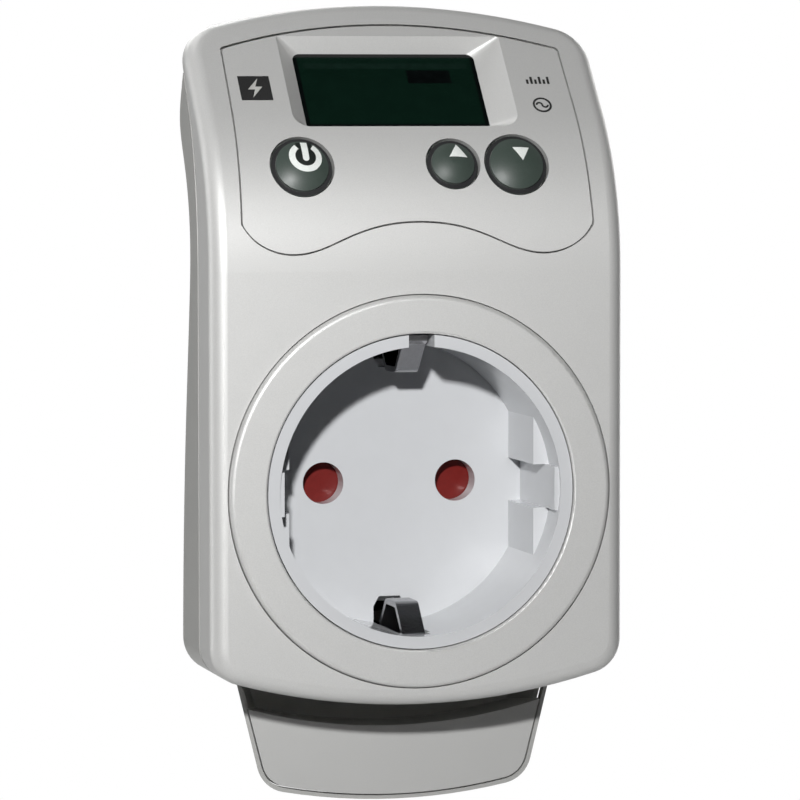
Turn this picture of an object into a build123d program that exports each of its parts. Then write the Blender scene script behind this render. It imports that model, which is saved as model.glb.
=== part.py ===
from build123d import *
from math import asin, cos, degrees, radians, sin, sqrt, tan
import os

os.makedirs("parts", exist_ok=True)

# A plug-in power meter: a wall plug at the back, a recessed earthed socket at the front, a leaning
# head with a display and three buttons above it, and a sensor pod that hangs below.
# X points right as seen from the front, Y points back to the wall, Z points up.
# The origin is the middle of the plug's end face, between the two pins. All sizes are millimetres.
# A depth is measured back from the front of the socket ring.

# Overall body
FACE_TO_PLUG = 57.5
WALL_DEPTH = 40.0
HALF_WIDTH = 29.0
TOP = 66.2
BOTTOM = -29.3
TOP_RADIUS = 98.0
BOTTOM_RADIUS = 93.0
TOP_CORNER = 5.5
BOTTOM_CORNER = 5.0
BODY_FRONT = 0.8
HEAD_START = 30.0
HEAD_RADIUS = 33.0
HEAD_LEAN = 42.0
CREST = 2.2
FRONT_WALL = 2.4
REAR_WALL = 2.2
FAR = 80.0

# Parting line between the front and the rear cover
SEAM = 9.0
SEAM_BEND_Z = 31.0
SEAM_MIDDLE = (10.2, 41.0)
SEAM_HEAD = (13.3, 50.0)
SEAM_TOP = (26.6, 70.0)
SEAM_GROOVE_WIDTH = 0.4
SEAM_GROOVE_DEPTH = 0.4
BACK_ROUNDING = 3.0
BACK_ROUNDING_DEPTH = 26.0

# Rear cover: a side rim that ends on a wavy line, then walls that taper towards the wall face
RIM_LINE = [(19.4, -34.0), (19.2, -11.0), (17.2, 9.0), (14.7, 25.0), (14.1, 34.0), (17.6, 44.5)]
RIM_TOP = [(20.4, 50.5), (18.0, 57.4), (16.6, 63.0), (16.0, 70.0)]
NECK_HALF = 27.2
NECK_DEPTH = 14.0
WALL_HALF = 23.0
HEAD_BACK = (29.0, 66.2)
SHOULDER = (40.0, 41.0)
HEEL_Z = -26.0
HEEL_DEPTH = 30.0

# Sensor pod under the body
POD_FRONT = 14.5
POD_BACK = 27.0
POD_TOP_HALF = 22.9
POD_TOP_Z = -26.0
POD_LOW_HALF = 19.0
POD_LOW_Z = -41.9
POD_BOTTOM = -44.1
POD_CORNER = 4.6
POD_TAPER = 4.2
POD_RIM = 0.5
POD_RECESS_TOP = -28.0
POD_GROOVE = 0.2
POD_PANEL = 1.6
SLOT_HALF = 24.0
SLOT_END_Z = -29.9
SLOT_MIDDLE_Z = -33.8
SLOT_DEPTH = 7.0

# Socket
RING_OUTER = 26.75
RING_INNER = 21.55
RING_INNER_EDGE = 0.3
RING_OUTER_EDGE = 0.7
RING_SEAT = 1.9
RING_GAP = 0.15
LIP_DEPTH = 0.3
BORE = 19.75
INSERT_OUTER = 21.4
INSERT_FLANGE = 24.0
INSERT_BODY = 22.0
FLANGE_BACK = 4.4
FLOOR_DEPTH = 17.5
FLOOR_THICK = 3.0
PIN_PITCH = 19.0
PIN_HOLE = 2.9
FLAT_X = 17.3
LEDGE_DEPTH = 5.3
RIB_HALF = 3.0
RIB_X = 19.0
RIB_FRONT = 0.9
EARTH_SLOT = 3.6
NOTCH_HALF = 2.3
NOTCH_START = 16.0
NOTCH_MOUTH = 1.5
LOW_SLOT_FRONT = 2.2

# Shutter behind the socket floor
SHUTTER_FRONT = 20.8
SHUTTER_THICK = 1.0
SHUTTER_LOBE = 3.4
SHUTTER_HUB = 3.6
SHUTTER_AXLE = 1.9
RETAINER_OUTER = 17.0
CHAMBER = 13.8
CHAMBER_DEPTH = 22.8
RETAINER_BACK = 24.4

# Fascia with its window and buttons
PANEL_THICK = 1.2
PANEL_GROOVE = 0.25
PANEL_TOP_HALF = 24.2
PANEL_LOW_HALF = 24.8
PANEL_LOW_Z = 36.2
PANEL_TOP_Z = 60.3
PANEL_APEX_Z = 63.6
PANEL_LOBE_Z = 32.2
PANEL_WAVE_Z = 36.5
PANEL_CORNERS = (1.4, 0.6)
PANEL_WAVE = [(22.3, 1.4), (18.2, 0.0), (14.0, 0.6), (9.9, 2.3), (5.4, 3.75)]
HEAD_Z = 54.45
WINDOW_SPOT = (-0.6, 1.9)
WINDOW_WIDTH = 26.0
WINDOW_HEIGHT = 13.5
WINDOW_SUNK = 2.2
WINDOW_CORNERS = (0.5, 1.2)
GLASS_THICK = 1.0
BEZEL_HALF = 16.1
BEZEL_LOW = -6.7
BEZEL_TOP = 10.1
BEZEL_CORNERS = (2.4, 0.4)
BLOCK_HALF = 15.5
BLOCK_LOW = -8.4
BLOCK_TOP = 10.0
BLOCK_FRONT = 0.6
BLOCK_GAP = 0.15
BLOCK_BACK = 4.4
BUTTONS = {
    "power_button": (-15.7, 44.2, 4.25),
    "up_button": (5.5, 44.5, 3.6),
    "down_button": (14.5, 44.4, 4.35),
}
BUTTON_GAP = 0.25
BUTTON_DOME = 0.9
BUTTON_CAP_BACK = 1.1
BUTTON_SKIRT = 0.5
BUTTON_STEP = 0.6
WELL_DEPTH = 1.9
STEM_RADIUS = 2.0
STEM_BACK = 3.4
STEM_FLANGE = 2.9
STEM_FLANGE_FRONT = 2.6

# Boards, with the display board behind the leaning head and the power board upright behind it
DISPLAY_BOARD = 7.2
DISPLAY_BOARD_WIDTH = 43.0
DISPLAY_BOARD_TOP = 10.2
DISPLAY_BOARD_LOW = -14.0
BOARD_THICK = 1.6
POWER_BOARD = 30.4
POWER_BOARD_HALF = 20.0
POWER_BOARD_LOW = 22.6
POWER_BOARD_TOP = 47.0

# Plug
PLUG_RADIUS = 18.4
PLUG_INNER = 15.0
PLUG_FACE = 3.0
PLUG_FLANGE = 20.4
FLANGE_THICK = 2.0
PIN_RADIUS = 2.4
PIN_LENGTH = 19.0
PIN_TIP = 1.4
PIN_NECK = 3.0
PLUG_GROOVE_HALF = 3.3
PLUG_GROOVE_X = 15.9
EARTH_HALF = 2.4
EARTH_THICK = 0.8

# Case screws
SCREWS = [(-18.0, -21.0), (18.0, -21.0), (-18.0, 27.0), (18.0, 27.0)]
BOSS_SPLIT = 21.0
SCREW_SEAT = 28.0
SCREW_RADIUS = 1.25
SCREW_HEAD = 2.7
FRONT_BOSS = 3.2
REAR_BOSS = 4.0
BOARD_SCREW = 0.8
BOARD_SCREW_HEAD = 1.7
BOARD_HOLE = 1.2
POST_HOLE = 0.85
DISPLAY_POST = 2.2
POWER_POST = 2.1
PRESS_GAP = 0.05


def at(depth, z):
    """Point of a side section, drawn on the YZ plane."""
    return (depth - FACE_TO_PLUG, z)


def facing(depth):
    """Upright plane at a depth, seen from the front; extruding by a negative amount goes back."""
    return Plane.XZ.offset(FACE_TO_PLUG - depth)


def surface_lean(z):
    """Lean of the front surface from upright at a height, in degrees."""
    if z <= HEAD_START:
        return 0.0
    return min(HEAD_LEAN, degrees(asin(min(1.0, (z - HEAD_START) / HEAD_RADIUS))))


def surface_depth(z):
    """Depth of the front surface at a height."""
    lean = radians(surface_lean(z))
    bend_top = HEAD_START + HEAD_RADIUS * sin(lean)
    return BODY_FRONT + HEAD_RADIUS * (1 - cos(lean)) + max(0.0, z - bend_top) * tan(lean)


def on_surface(x, z, inset=0.0):
    """Plane that lies on the front surface at a point, then moved in by inset."""
    lean = radians(surface_lean(z))
    point = (x, surface_depth(z) - FACE_TO_PLUG, z)
    return Plane(origin=point, x_dir=(1, 0, 0), z_dir=(0, -cos(lean), sin(lean))).offset(-inset)


def head_plane(inset):
    """Plane parallel to the leaning head, with its middle halfway up the head."""
    return on_surface(0, HEAD_Z, inset)


def window_plane(inset):
    """Plane parallel to the leaning head, with its middle behind the middle of the window."""
    plane = head_plane(inset)
    return Plane(plane.from_local_coords((*WINDOW_SPOT, 0)), plane.x_dir, plane.z_dir)


def corner_frame(width, height, radii):
    """Rectangle whose two lower and two upper corners each have their own radius."""
    with BuildSketch() as frame:
        Rectangle(width, height)
        fillet(frame.vertices().group_by(Axis.Y)[0], radius=radii[0])
        fillet(frame.vertices().group_by(Axis.Y)[-1], radius=radii[1])
    return frame.sketch


def lean_start(inset):
    """Depth and height where the bend ends and the straight head begins."""
    bend = HEAD_RADIUS - inset
    lean = radians(HEAD_LEAN)
    return (BODY_FRONT + HEAD_RADIUS - bend * cos(lean), HEAD_START + bend * sin(lean))


def front_section(inset, shift=0.0):
    """Side section between the front surface, drawn in by inset, and the seam moved by shift."""
    bend = HEAD_RADIUS - inset
    half_lean = radians(HEAD_LEAN / 2)
    depth, z = lean_start(inset)
    low_z = BOTTOM - 5
    centre = BODY_FRONT + HEAD_RADIUS
    run = (SEAM_TOP[1] - z) / cos(radians(HEAD_LEAN))
    knee = at(BODY_FRONT + inset, HEAD_START)
    middle = at(centre - bend * cos(half_lean), HEAD_START + bend * sin(half_lean))
    top = at(depth + run * sin(radians(HEAD_LEAN)), SEAM_TOP[1])
    seam_top = at(SEAM_TOP[0] + shift, SEAM_TOP[1])
    with BuildSketch(Plane.YZ) as section:
        with BuildLine():
            Line(at(BODY_FRONT + inset, low_z), knee)
            ThreePointArc(knee, middle, at(depth, z))
            Line(at(depth, z), top)
            Line(top, seam_top)
            Line(seam_top, at(SEAM_HEAD[0] + shift, SEAM_HEAD[1]))
            ThreePointArc(
                at(SEAM_HEAD[0] + shift, SEAM_HEAD[1]),
                at(SEAM_MIDDLE[0] + shift, SEAM_MIDDLE[1]),
                at(SEAM + shift, SEAM_BEND_Z),
            )
            Line(at(SEAM + shift, SEAM_BEND_Z), at(SEAM + shift, low_z))
            Line(at(SEAM + shift, low_z), at(BODY_FRONT + inset, low_z))
        make_face()
    return section.sketch


def arc_z(apex, radius, x):
    """Height of an edge arc with its apex on the middle plane, away from the middle by x."""
    return apex - radius + sqrt(radius**2 - x**2)


def outline(inset):
    """Front outline of the body, drawn in by inset."""
    half = HALF_WIDTH - inset
    top = TOP - inset
    low = BOTTOM + inset
    top_end = arc_z(top, TOP_RADIUS - inset, half)
    low_end = -arc_z(-low, BOTTOM_RADIUS - inset, half)
    with BuildSketch(Plane.XZ) as face:
        with BuildLine():
            ThreePointArc((-half, low_end), (0, low), (half, low_end))
            Line((half, low_end), (half, top_end))
            ThreePointArc((half, top_end), (0, top), (-half, top_end))
            Line((-half, top_end), (-half, low_end))
        make_face()
        fillet(face.vertices().group_by(Axis.Y)[-1], radius=max(TOP_CORNER - inset, 1.0))
        fillet(face.vertices().group_by(Axis.Y)[0], radius=max(BOTTOM_CORNER - inset, 1.0))
    return face.sketch


def front_form(inset, shift=0.0):
    """Solid between the front surface and the seam, drawn in by inset."""
    with BuildPart() as form:
        extrude(front_section(inset, shift), amount=HALF_WIDTH + 1, both=True)
        extrude(outline(inset), amount=FAR, both=True, mode=Mode.INTERSECT)
    return form.part


def rim_section():
    """Side section of the part of the rear cover that keeps the body's full width."""
    with BuildSketch(Plane.YZ) as section:
        with BuildLine():
            Spline(*[at(depth, z) for depth, z in RIM_LINE + RIM_TOP])
            Line(at(*RIM_TOP[-1]), at(0, RIM_TOP[-1][1]))
            Line(at(0, RIM_TOP[-1][1]), at(0, RIM_LINE[0][1]))
            Line(at(0, RIM_LINE[0][1]), at(*RIM_LINE[0]))
        make_face()
    return section.sketch


def rear_section(inset, shift):
    """Side section from the seam, moved by shift, to the wall face, drawn in by inset."""
    low_z = BOTTOM - 5
    with BuildSketch(Plane.YZ) as section:
        with BuildLine():
            Line(at(SEAM + shift, low_z), at(SEAM + shift, SEAM_BEND_Z))
            ThreePointArc(
                at(SEAM + shift, SEAM_BEND_Z),
                at(SEAM_MIDDLE[0] + shift, SEAM_MIDDLE[1]),
                at(SEAM_HEAD[0] + shift, SEAM_HEAD[1]),
            )
            Line(at(SEAM_HEAD[0] + shift, SEAM_HEAD[1]), at(SEAM_TOP[0] + shift, SEAM_TOP[1]))
            Polyline(
                at(SEAM_TOP[0] + shift, SEAM_TOP[1]),
                at(HEAD_BACK[0] - inset, HEAD_BACK[1] + 3.8),
                at(HEAD_BACK[0] - inset, HEAD_BACK[1] - inset),
                at(SHOULDER[0] - inset, SHOULDER[1] - inset),
                at(WALL_DEPTH - inset, HEEL_Z + inset),
                at(HEEL_DEPTH, BOTTOM + inset),
                at(HEEL_DEPTH, low_z),
                at(SEAM + shift, low_z),
            )
        make_face()
    return section.sketch


def rear_form(inset, shift=0.0):
    """Solid between the seam and the wall face, drawn in by inset."""
    neck = (NECK_DEPTH - FACE_TO_PLUG, NECK_HALF - inset)
    back = (WALL_DEPTH - FACE_TO_PLUG, WALL_HALF - inset)
    start = -FACE_TO_PLUG
    with BuildPart() as form:
        with BuildSketch(Plane.XY):
            Polygon(
                (-neck[1], start), (neck[1], start), (neck[1], neck[0]), (back[1], back[0]),
                (-back[1], back[0]), (-neck[1], neck[0]), align=None,
            )
        extrude(amount=FAR, both=True)
        if inset == 0:
            extrude(rim_section(), amount=HALF_WIDTH, both=True)
        extrude(rear_section(inset, shift), amount=FAR, both=True, mode=Mode.INTERSECT)
        extrude(outline(inset), amount=FAR, both=True, mode=Mode.INTERSECT)
    return form.part


def pod_outline(inset, top_z=POD_TOP_Z):
    """Front outline of the sensor pod, drawn in by inset."""
    slope = (POD_TOP_HALF - POD_LOW_HALF) / (POD_TOP_Z - POD_LOW_Z)
    top_half = POD_LOW_HALF + slope * (top_z - POD_LOW_Z) - inset
    low_half = POD_LOW_HALF - inset
    with BuildSketch(Plane.XZ) as face:
        with BuildLine():
            Line((-top_half, top_z), (-low_half, POD_LOW_Z + inset))
            ThreePointArc(
                (-low_half, POD_LOW_Z + inset), (0, POD_BOTTOM + inset), (low_half, POD_LOW_Z + inset)
            )
            Line((low_half, POD_LOW_Z + inset), (top_half, top_z))
            Line((top_half, top_z), (-top_half, top_z))
        make_face()
        fillet(face.vertices().group_by(Axis.Y)[0], radius=max(POD_CORNER - inset, 0.2))
    return face.sketch


def at_depth(face, depth):
    """Front outline moved to a depth."""
    return face.moved(Location((0, depth - FACE_TO_PLUG, 0)))


def pod_form(inset):
    """Solid of the sensor pod, which narrows towards the back, with its outline drawn in."""
    with BuildPart() as form:
        loft([
            at_depth(pod_outline(inset), POD_FRONT),
            at_depth(pod_outline(POD_TAPER + inset), POD_BACK),
        ])
    return form.part


def slot_outline():
    """Front outline of the air slot between the body and the pod, open upwards into the body."""
    top_z = BOTTOM + 6
    with BuildSketch(Plane.XZ) as face:
        with BuildLine():
            ThreePointArc((-SLOT_HALF, SLOT_END_Z), (0, SLOT_MIDDLE_Z), (SLOT_HALF, SLOT_END_Z))
            Line((SLOT_HALF, SLOT_END_Z), (SLOT_HALF, top_z))
            Line((SLOT_HALF, top_z), (-SLOT_HALF, top_z))
            Line((-SLOT_HALF, top_z), (-SLOT_HALF, SLOT_END_Z))
        make_face()
    return face.sketch


def panel_outline(inset):
    """Front outline of the fascia: an arched top, and a wave with two lobes along the bottom."""
    low_half = PANEL_LOW_HALF - inset
    top_half = PANEL_TOP_HALF - inset
    low_z = PANEL_LOW_Z + inset
    wave = [(x, PANEL_LOBE_Z + inset + rise) for x, rise in PANEL_WAVE]
    left_wave = [(-x, z) for x, z in wave]
    with BuildSketch(Plane.XZ) as face:
        with BuildLine():
            Line((-top_half, PANEL_TOP_Z - inset), (-low_half, low_z))
            Spline(
                (-low_half, low_z), *left_wave, (0, PANEL_WAVE_Z + inset), *reversed(wave),
                (low_half, low_z),
            )
            Line((low_half, low_z), (top_half, PANEL_TOP_Z - inset))
            ThreePointArc(
                (top_half, PANEL_TOP_Z - inset), (0, PANEL_APEX_Z - inset),
                (-top_half, PANEL_TOP_Z - inset),
            )
        make_face()
        fillet(face.vertices().group_by(Axis.Y)[-1], radius=PANEL_CORNERS[1])
        fillet(face.vertices().group_by(Axis.Y)[0], radius=PANEL_CORNERS[0])
    return face.sketch


def surface_band(outer, inner):
    """Side section of the layer between two insets below the front surface."""
    lean = radians(HEAD_LEAN)
    half = lean / 2
    centre = BODY_FRONT + HEAD_RADIUS
    low_z = HEAD_START - 2
    run = 30.0
    bends = [HEAD_RADIUS - outer, HEAD_RADIUS - inner]
    knees = [at(BODY_FRONT + inset, HEAD_START) for inset in (outer, inner)]
    lows = [at(BODY_FRONT + inset, low_z) for inset in (outer, inner)]
    middles = [at(centre - bend * cos(half), HEAD_START + bend * sin(half)) for bend in bends]
    ends = [at(*lean_start(inset)) for inset in (outer, inner)]
    tops = [(y + run * sin(lean), z + run * cos(lean)) for y, z in ends]
    with BuildSketch(Plane.YZ) as section:
        with BuildLine():
            for side in (0, 1):
                Line(lows[side], knees[side])
                ThreePointArc(knees[side], middles[side], ends[side])
                Line(ends[side], tops[side])
            Line(lows[0], lows[1])
            Line(tops[0], tops[1])
        make_face()
    return section.sketch


def write(piece, label):
    """Label one finished piece and write it as its own file."""
    piece.part.label = label
    export_step(piece.part, f"parts/{label}.step")


def band_layer(outer, inner, inset):
    """Fascia-shaped layer between two insets below the front surface, with its outline drawn in."""
    with BuildPart() as layer:
        extrude(surface_band(outer, inner), amount=HALF_WIDTH, both=True)
        extrude(panel_outline(inset), amount=FAR, both=True, mode=Mode.INTERSECT)
    return layer.part


def crest_edges(solid):
    """Edges where the front surface meets the sides, the top and the bottom."""
    front_faces = [face for face in solid.faces() if face.normal_at(face.center()).Y < -0.5]
    edges = ShapeList([edge for face in front_faces for edge in face.edges()])
    return edges.filter_by(
        lambda edge: edge.geom_type != GeomType.LINE or abs(edge.tangent_at(0.5).X) < 0.99
    )


def edges_behind(solid, depth):
    """Edges that lie wholly behind a depth."""
    limit = depth - FACE_TO_PLUG
    return solid.edges().filter_by(
        lambda edge: min(edge.position_at(share).Y for share in (0, 0.5, 1)) > limit
    )


def button_dome(x, z, radius):
    """Round cap whose top is part of a ball that meets the front surface at the cap's radius."""
    ball = (radius**2 + BUTTON_DOME**2) / (2 * BUTTON_DOME)
    with BuildPart(on_surface(x, z, ball - BUTTON_DOME)) as form:
        Sphere(ball)
    with BuildPart() as cap:
        with BuildSketch(on_surface(x, z, BUTTON_CAP_BACK)):
            Circle(radius)
        extrude(amount=BUTTON_CAP_BACK + BUTTON_DOME)
        add(form, mode=Mode.INTERSECT)
    return cap.part


def switch_spot(x, z):
    """Place on the display board, in its own plane, that a button's axis points at."""
    key = on_surface(x, z)
    head = head_plane(0)
    start = head.to_local_coords(key.origin)
    ahead = head.to_local_coords(key.origin - key.z_dir)
    reach = (-DISPLAY_BOARD - start.Z) / (ahead.Z - start.Z)
    return (x, start.Y + reach * (ahead.Y - start.Y))


# Front cover: a shell with a seat for the fascia, wells for the buttons and a seat for the ring
DISPLAY_POSTS = [(-19.3, 6.8), (19.3, 6.8), (-19.3, -6.5), (19.3, -6.5)]
front_outer = front_form(0)
front_inner = front_form(FRONT_WALL, 4.0)
fascia_seat = band_layer(-1.0, PANEL_THICK, 0)
block_middle = (BLOCK_LOW + BLOCK_TOP) / 2
with BuildPart() as front_cover:
    add(front_outer)
    fillet(crest_edges(front_cover.part), radius=CREST)
    add(front_inner, mode=Mode.SUBTRACT)
    with BuildSketch(head_plane(1.5)):
        with Locations(*DISPLAY_POSTS):
            Circle(DISPLAY_POST)
    extrude(amount=1.5 - DISPLAY_BOARD)
    with BuildSketch(facing(2.0)):
        with Locations(*SCREWS):
            Circle(FRONT_BOSS)
    extrude(amount=2.0 - BOSS_SPLIT)
    add(fascia_seat, mode=Mode.SUBTRACT)
    with BuildSketch(head_plane(0)):
        with Locations((0, block_middle)):
            Rectangle(2 * (BLOCK_HALF + BLOCK_GAP), BLOCK_TOP - BLOCK_LOW + 2 * BLOCK_GAP)
    extrude(amount=-6, mode=Mode.SUBTRACT)
    for x, z, radius in BUTTONS.values():
        with BuildSketch(on_surface(x, z)):
            Circle(radius + BUTTON_GAP)
        extrude(amount=-WELL_DEPTH, mode=Mode.SUBTRACT)
        with BuildSketch(on_surface(x, z)):
            Circle(STEM_RADIUS + 0.25)
        extrude(amount=-5, mode=Mode.SUBTRACT)
    with BuildSketch(facing(0)):
        Circle(RING_OUTER + RING_GAP)
    extrude(amount=-RING_SEAT, mode=Mode.SUBTRACT)
    with BuildSketch(facing(0)):
        Circle(INSERT_OUTER + 0.1)
    extrude(amount=-6, mode=Mode.SUBTRACT)
    with BuildSketch(facing(BOSS_SPLIT)):
        with Locations(*SCREWS):
            Circle(SCREW_RADIUS + PRESS_GAP)
    extrude(amount=10, mode=Mode.SUBTRACT)
    with BuildSketch(head_plane(DISPLAY_BOARD)):
        with Locations(*DISPLAY_POSTS):
            Circle(POST_HOLE)
    extrude(amount=4, mode=Mode.SUBTRACT)
write(front_cover, "front_cover")

# Fascia: a thin inlaid panel with a thicker window frame that reaches through the front cover
bezel_middle = (BEZEL_LOW + BEZEL_TOP) / 2
fascia_layer = band_layer(0, PANEL_THICK, PANEL_GROOVE)
with BuildPart() as control_panel:
    add(fascia_layer)
    with BuildSketch(head_plane(BLOCK_FRONT)):
        with Locations((0, block_middle)):
            Rectangle(2 * BLOCK_HALF, BLOCK_TOP - BLOCK_LOW)
    extrude(amount=BLOCK_FRONT - BLOCK_BACK)
    with BuildSketch(window_plane(WINDOW_SUNK)):
        add(corner_frame(WINDOW_WIDTH, WINDOW_HEIGHT, WINDOW_CORNERS))
    with BuildSketch(head_plane(-0.1)):
        with Locations((0, bezel_middle)):
            add(corner_frame(2 * BEZEL_HALF, BEZEL_TOP - BEZEL_LOW, BEZEL_CORNERS))
    loft(mode=Mode.SUBTRACT)
    with BuildSketch(window_plane(WINDOW_SUNK)):
        Rectangle(WINDOW_WIDTH + 1.2, WINDOW_HEIGHT + 1.2)
    extrude(amount=-5, mode=Mode.SUBTRACT)
    for x, z, radius in BUTTONS.values():
        with BuildSketch(on_surface(x, z, -1)):
            Circle(radius + BUTTON_GAP)
        extrude(amount=-1 - WELL_DEPTH, mode=Mode.SUBTRACT)
write(control_panel, "control_panel")

with BuildPart() as display_window:
    with BuildSketch(window_plane(WINDOW_SUNK)):
        Rectangle(WINDOW_WIDTH + 1.0, WINDOW_HEIGHT + 1.0)
    extrude(amount=-GLASS_THICK)
write(display_window, "display_window")

# Display cell in its holder, with the rubber contact strip that joins it to the board
LCD_FRONT = 3.4
LCD_BACK = 5.6
LCD_WIDTH = 25.4
LCD_HEIGHT = 13.0
FRAME_FRONT = 4.5
with BuildPart() as lcd_panel:
    with BuildSketch(window_plane(LCD_FRONT)):
        Rectangle(LCD_WIDTH, LCD_HEIGHT)
    extrude(amount=LCD_FRONT - LCD_BACK)
write(lcd_panel, "lcd_panel")

with BuildPart() as lcd_frame:
    with BuildSketch(window_plane(FRAME_FRONT)):
        Rectangle(LCD_WIDTH + 3.6, LCD_HEIGHT + 3.0)
        Rectangle(LCD_WIDTH + 0.3, LCD_HEIGHT + 0.3, mode=Mode.SUBTRACT)
    extrude(amount=FRAME_FRONT - LCD_BACK)
    with BuildSketch(window_plane(LCD_BACK)):
        Rectangle(LCD_WIDTH + 3.6, LCD_HEIGHT + 3.0)
        Rectangle(LCD_WIDTH - 2.4, LCD_HEIGHT - 2.2, mode=Mode.SUBTRACT)
    extrude(amount=LCD_BACK - DISPLAY_BOARD)
write(lcd_frame, "lcd_frame")

with BuildPart() as lcd_contact_strip:
    with BuildSketch(window_plane(LCD_BACK)):
        with Locations((0, -4.3)):
            Rectangle(21.0, 1.6)
    extrude(amount=LCD_BACK - DISPLAY_BOARD)
write(lcd_contact_strip, "lcd_contact_strip")

# Buttons: a domed cap on a low skirt in a well, and a stem with a collar behind the front cover
for name, (x, z, radius) in BUTTONS.items():
    with BuildPart() as button:
        add(button_dome(x, z, radius - BUTTON_STEP))
        with BuildSketch(on_surface(x, z, BUTTON_CAP_BACK)):
            Circle(radius)
        extrude(amount=BUTTON_CAP_BACK - BUTTON_SKIRT)
        with BuildSketch(on_surface(x, z, BUTTON_CAP_BACK)):
            Circle(STEM_RADIUS)
        extrude(amount=BUTTON_CAP_BACK - STEM_BACK)
        with BuildSketch(on_surface(x, z, STEM_FLANGE_FRONT)):
            Circle(STEM_FLANGE)
        extrude(amount=STEM_FLANGE_FRONT - STEM_BACK)
    write(button, name)

# Display board with its key switches, controller and connector
board_middle = (DISPLAY_BOARD_TOP + DISPLAY_BOARD_LOW) / 2
DISPLAY_BACK = DISPLAY_BOARD + BOARD_THICK
with BuildPart() as display_board:
    with BuildSketch(head_plane(DISPLAY_BOARD)):
        with Locations((0, board_middle)):
            RectangleRounded(DISPLAY_BOARD_WIDTH, DISPLAY_BOARD_TOP - DISPLAY_BOARD_LOW, 1.0)
        with Locations(*DISPLAY_POSTS):
            Circle(BOARD_HOLE, mode=Mode.SUBTRACT)
    extrude(amount=-BOARD_THICK)
write(display_board, "display_board")

switch_spots = [switch_spot(x, z) for x, z, radius in BUTTONS.values()]
with BuildPart() as key_switches:
    with BuildSketch(head_plane(DISPLAY_BOARD)):
        with Locations(*switch_spots):
            Rectangle(4.8, 4.8)
    extrude(amount=1.0)
    with BuildSketch(head_plane(DISPLAY_BOARD - 1.0)):
        with Locations(*switch_spots):
            Circle(1.0)
    extrude(amount=0.4)
write(key_switches, "key_switches")

with BuildPart() as controller_chip:
    with BuildSketch(head_plane(DISPLAY_BACK)):
        with Locations((-8.5, 0)):
            Rectangle(9.0, 9.0)
    extrude(amount=-1.5)
write(controller_chip, "controller_chip")

RIBBON_X = 9.0
RIBBON_WIDTH = 10.0
RIBBON_SPOT = -3.0
DISPLAY_SOCKET_BACK = DISPLAY_BACK + 2.2
POWER_SOCKET_FRONT = POWER_BOARD - 2.5
POWER_SOCKET_Z = 45.3
with BuildPart() as display_connector:
    with BuildSketch(head_plane(DISPLAY_BACK)):
        with Locations((RIBBON_X, RIBBON_SPOT)):
            Rectangle(RIBBON_WIDTH + 2, 2.8)
    extrude(amount=-2.2)
write(display_connector, "display_connector")

with BuildPart() as power_connector:
    with BuildSketch(facing(POWER_BOARD)):
        with Locations((RIBBON_X, POWER_SOCKET_Z)):
            Rectangle(RIBBON_WIDTH + 2, 2.8)
    extrude(amount=2.5)
write(power_connector, "power_connector")

ribbon_start = head_plane(DISPLAY_SOCKET_BACK).from_local_coords((0, RIBBON_SPOT, 0))
ribbon_turn = head_plane(DISPLAY_SOCKET_BACK + 2.5).from_local_coords((0, RIBBON_SPOT, 0))
with BuildPart() as ribbon_cable:
    with BuildSketch(Plane.YZ.offset(RIBBON_X)):
        with BuildLine():
            FilletPolyline(
                (ribbon_start.Y, ribbon_start.Z), (ribbon_turn.Y, ribbon_turn.Z),
                at(24.5, 43.4), at(26.2, POWER_SOCKET_Z), at(POWER_SOCKET_FRONT, POWER_SOCKET_Z),
                radius=0.7,
            )
        trace(line_width=0.3)
    extrude(amount=RIBBON_WIDTH / 2, both=True)
write(ribbon_cable, "ribbon_cable")

# Socket ring: a flat ring around the socket that stands a little proud of the front cover
with BuildPart() as socket_ring:
    with BuildSketch(Plane.XY) as section:
        with Locations(((RING_INNER + RING_OUTER) / 2, RING_SEAT / 2 - FACE_TO_PLUG)):
            Rectangle(RING_OUTER - RING_INNER, RING_SEAT)
        fillet(section.vertices().group_by(Axis.Y)[0].sort_by(Axis.X)[0], radius=RING_INNER_EDGE)
        fillet(section.vertices().group_by(Axis.Y)[0].sort_by(Axis.X)[-1], radius=RING_OUTER_EDGE)
    revolve(axis=Axis.Y)
write(socket_ring, "socket_ring")

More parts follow.
